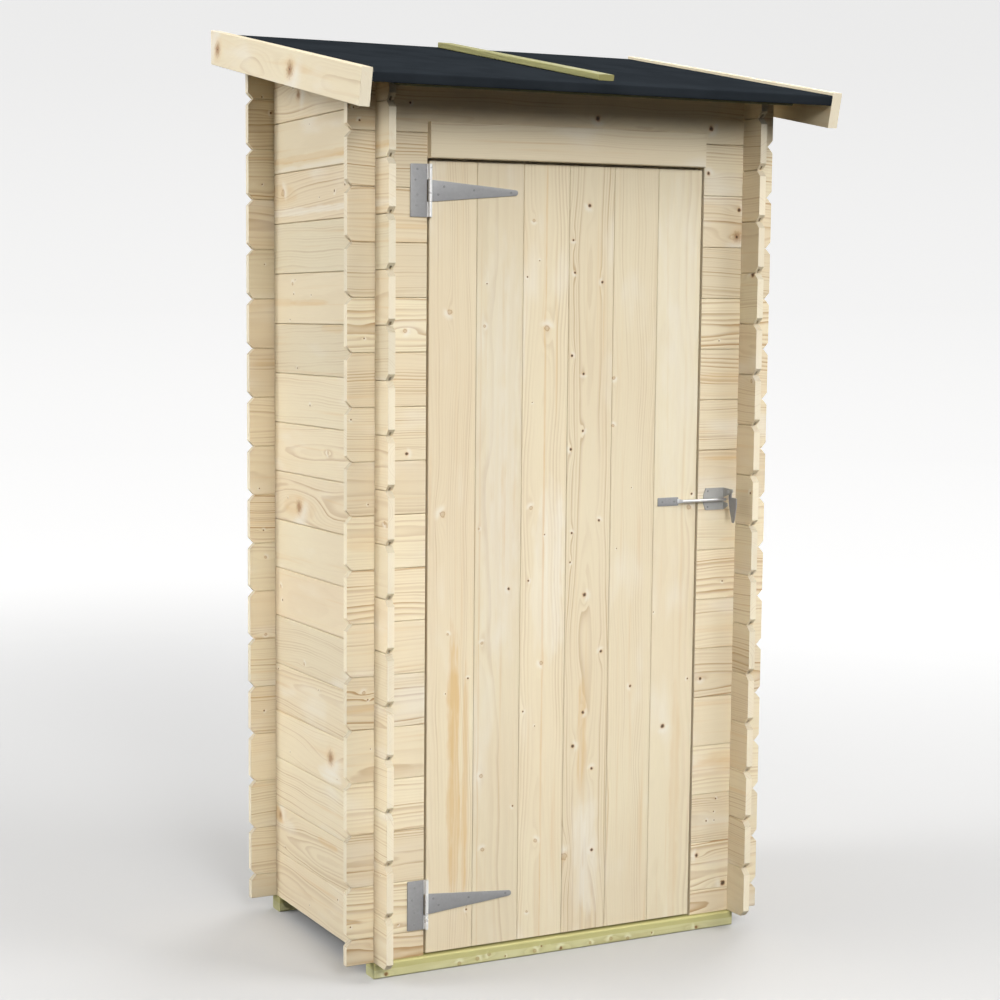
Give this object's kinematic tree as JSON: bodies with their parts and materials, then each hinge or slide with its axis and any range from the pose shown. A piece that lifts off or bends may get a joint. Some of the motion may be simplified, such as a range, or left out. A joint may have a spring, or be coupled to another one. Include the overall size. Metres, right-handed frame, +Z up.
{
  "type": "pent garden shed",
  "caption": "Small lean-to garden shed of interlocking boards, with a boarded door on T-hinges, a gate latch and a felted roof that slopes to the front.",
  "frame": {"origin": "on the ground below the middle of the roof, level with the undersides of the bearers", "axes": "+X to the right along the front, +Y from the door to the back wall, +Z up"},
  "size_m": [1.162, 0.823, 2.0793],
  "materials": {
    "pine": "planed, untreated softwood",
    "treated_pine": "pressure-treated sawn softwood",
    "roofing_felt": "matt mineral felt",
    "galvanised_steel": "zinc coated, satin",
    "zinc_bright": "bright zinc"
  },
  "bodies": {
    "shed": {"front_bearer": "treated_pine", "middle_bearer": "treated_pine", "back_bearer": "treated_pine", "floor": "pine", "front_wall_left": "pine", "front_wall_right": "pine", "front_wall_top": "pine", "left_wall": "pine", "right_wall": "pine", "back_wall": "pine", "door_post_left": "pine", "door_post_right": "pine", "door_head": "pine", "door_head_cover": "pine", "roof_deck": "pine", "roof_felt": "roofing_felt", "left_barge_board": "pine", "right_barge_board": "pine", "roof_batten": "treated_pine", "front_eaves_batten": "treated_pine", "upper_hinge_leaf": "galvanised_steel", "lower_hinge_leaf": "galvanised_steel", "upper_hinge_pin": "zinc_bright", "lower_hinge_pin": "zinc_bright", "latch_body": "galvanised_steel", "latch_pin": "zinc_bright"},
    "door": {"door_board_1": "pine", "door_board_2": "pine", "door_board_3": "pine", "door_board_4": "pine", "door_board_5": "pine", "door_board_6": "pine", "top_ledge": "pine", "middle_ledge": "pine", "bottom_ledge": "pine", "upper_brace": "pine", "lower_brace": "pine", "upper_hinge_strap": "galvanised_steel", "lower_hinge_strap": "galvanised_steel", "latch_striker": "galvanised_steel"},
    "pawl": {"latch_pawl": "galvanised_steel"}
  },
  "joints": [
    {"name": "door_hinge", "type": "hinge", "parent": "shed", "child": "door", "pos_m": [-0.342, -0.2395, 0.8915], "axis": [0, 0, -1], "range_deg": [0, 140]},
    {"name": "pawl_pivot", "type": "hinge", "parent": "shed", "child": "pawl", "pos_m": [0.4165, -0.2573, 1.023], "axis": [-1, 0, 0], "range_deg": [0, 75]}
  ]
}
